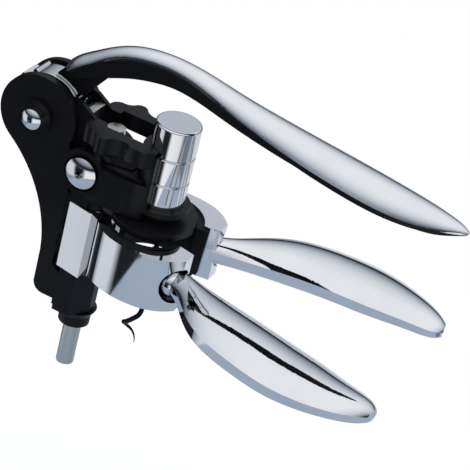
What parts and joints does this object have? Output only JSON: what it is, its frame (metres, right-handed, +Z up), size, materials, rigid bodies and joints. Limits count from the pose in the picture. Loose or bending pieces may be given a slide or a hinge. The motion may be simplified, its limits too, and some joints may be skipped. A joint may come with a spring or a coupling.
{
  "type": "lever corkscrew",
  "caption": "Hand-held lever corkscrew: a geared lever drives a rack, lifting a carriage with a worm while two hinged jaws grip the bottle's neck.",
  "frame": {"origin": "centre of the bottle's mouth, where the worm's axis meets the mouth plate's underside", "axes": "+X forward along the grips, +Y to the left, +Z up along the worm"},
  "size_m": [0.1878, 0.1058, 0.1485],
  "materials": {
    "chrome": "polished plated zinc casting",
    "steel": "satin ground steel",
    "bronze": "plain sintered bush",
    "black_body": "satin black coated casting",
    "black_insert": "matt moulded insert",
    "black_liner": "matt soft liner",
    "black_coating": "low-friction black coating"
  },
  "bodies": {
    "frame": {"right_cheek": "black_body", "left_cheek": "black_body", "mouth_plate": "black_body", "guide_block": "black_body", "guide_tube": "steel", "guide_bushes": "bronze", "cheek_dowels": "steel", "pivot_pin": "chrome", "pivot_cap": "chrome", "nut_block": "black_body", "nut_pins": "steel"},
    "lever": {"lever_shell": "chrome", "lever_insert": "black_insert", "lever_gear": "chrome", "lever_bush": "bronze"},
    "carriage": {"carriage_body": "black_body", "rack": "steel", "rack_screws": "steel", "guide_rod": "steel", "right_side_bolt": "chrome", "left_side_bolt": "chrome", "worm_housing": "chrome", "housing_cap": "chrome", "thrust_washer": "bronze", "upper_bearing": "bronze"},
    "worm_turner": {"worm": "black_coating", "worm_collar": "steel"},
    "right_clamp": {"right_jaw": "chrome", "right_liner": "black_liner", "right_liner_rivets": "steel", "right_grip": "chrome", "right_grip_stud": "steel"},
    "left_clamp": {"left_jaw": "chrome", "left_liner": "black_liner", "left_liner_rivets": "steel", "left_grip": "chrome", "left_grip_stud": "steel"}
  },
  "joints": [
    {"name": "lever_pivot", "type": "hinge", "parent": "frame", "child": "lever", "pos_m": [-0.0533, 0, 0.0263], "axis": [0, -1, 0], "range_deg": [0, 212]},
    {"name": "carriage_slide", "type": "slide", "parent": "frame", "child": "carriage", "axis": [0, 0, 1], "range_m": [0, 0.05534]},
    {"name": "worm_turn", "type": "hinge", "parent": "carriage", "child": "worm_turner", "pos_m": [0, 0, 0], "axis": [0, 0, 1], "range_deg": [0, 1239.4]},
    {"name": "right_jaw_hinge", "type": "hinge", "parent": "frame", "child": "right_clamp", "pos_m": [-0.0245, 0, -0.018], "axis": [0, 0, 1], "range_deg": [-8, 11.3]},
    {"name": "left_jaw_hinge", "type": "hinge", "parent": "frame", "child": "left_clamp", "pos_m": [-0.0245, 0, -0.018], "axis": [0, 0, -1], "range_deg": [-8, 11.3]}
  ],
  "couplings": [
    {"joint": "carriage_slide", "follows": "lever_pivot", "m_per_rad": 0.014875},
    {"joint": "worm_turn", "follows": "lever_pivot", "ratio": 5.8414}
  ]
}
